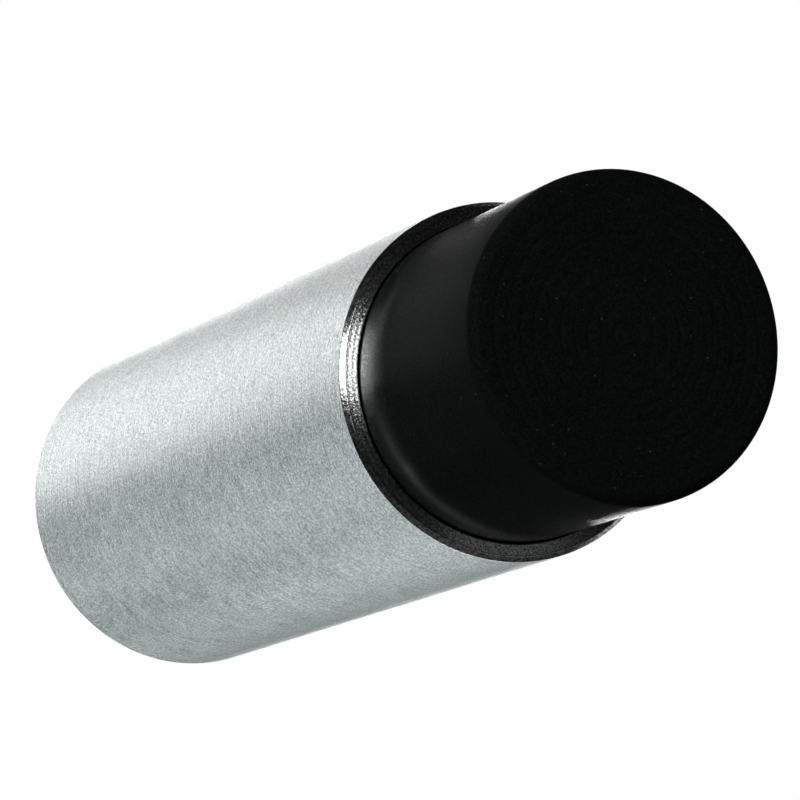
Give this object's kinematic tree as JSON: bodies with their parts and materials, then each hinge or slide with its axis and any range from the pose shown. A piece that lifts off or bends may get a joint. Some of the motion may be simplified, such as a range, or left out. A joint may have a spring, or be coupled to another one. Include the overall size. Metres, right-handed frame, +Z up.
{
  "type": "wall door stop",
  "caption": "Wall door stop: a satin tube pulled over a wall hub by a concealed screw, with a push-in black rubber buffer that takes the door's blow.",
  "frame": {"origin": "centre of the wall face, on the stop's axis", "axes": "+Z up, +Y into the wall along the stop's axis, so the buffer points along -Y, +X to the right when facing the wall"},
  "size_m": [0.03, 0.098, 0.03],
  "materials": {
    "satin_steel": "satin, brushed round the tube",
    "black_rubber": "matt moulded",
    "turned_aluminium": "as turned",
    "zinc_plated_steel": "bright zinc plated",
    "spring_steel": "phosphated and oiled"
  },
  "bodies": {
    "wall_base": {"wall_hub": "turned_aluminium"},
    "stop": {"tube": "satin_steel", "buffer_seat": "turned_aluminium", "retaining_ring": "spring_steel", "flat_washer": "zinc_plated_steel", "spring_washer": "spring_steel"},
    "clamp": {"clamp_screw": "zinc_plated_steel"},
    "bumper": {"buffer": "black_rubber"}
  },
  "joints": [
    {"name": "tube_slide", "type": "slide", "parent": "wall_base", "child": "stop", "axis": [0, -1, 0], "range_m": [0, 0.03]},
    {"name": "screw_turn", "type": "hinge", "parent": "stop", "child": "clamp", "pos_m": [0, -0.035, 0], "axis": [0, -1, 0], "continuous": true},
    {"name": "buffer_pull", "type": "slide", "parent": "stop", "child": "bumper", "axis": [0, -1, 0], "range_m": [0, 0.024]}
  ]
}
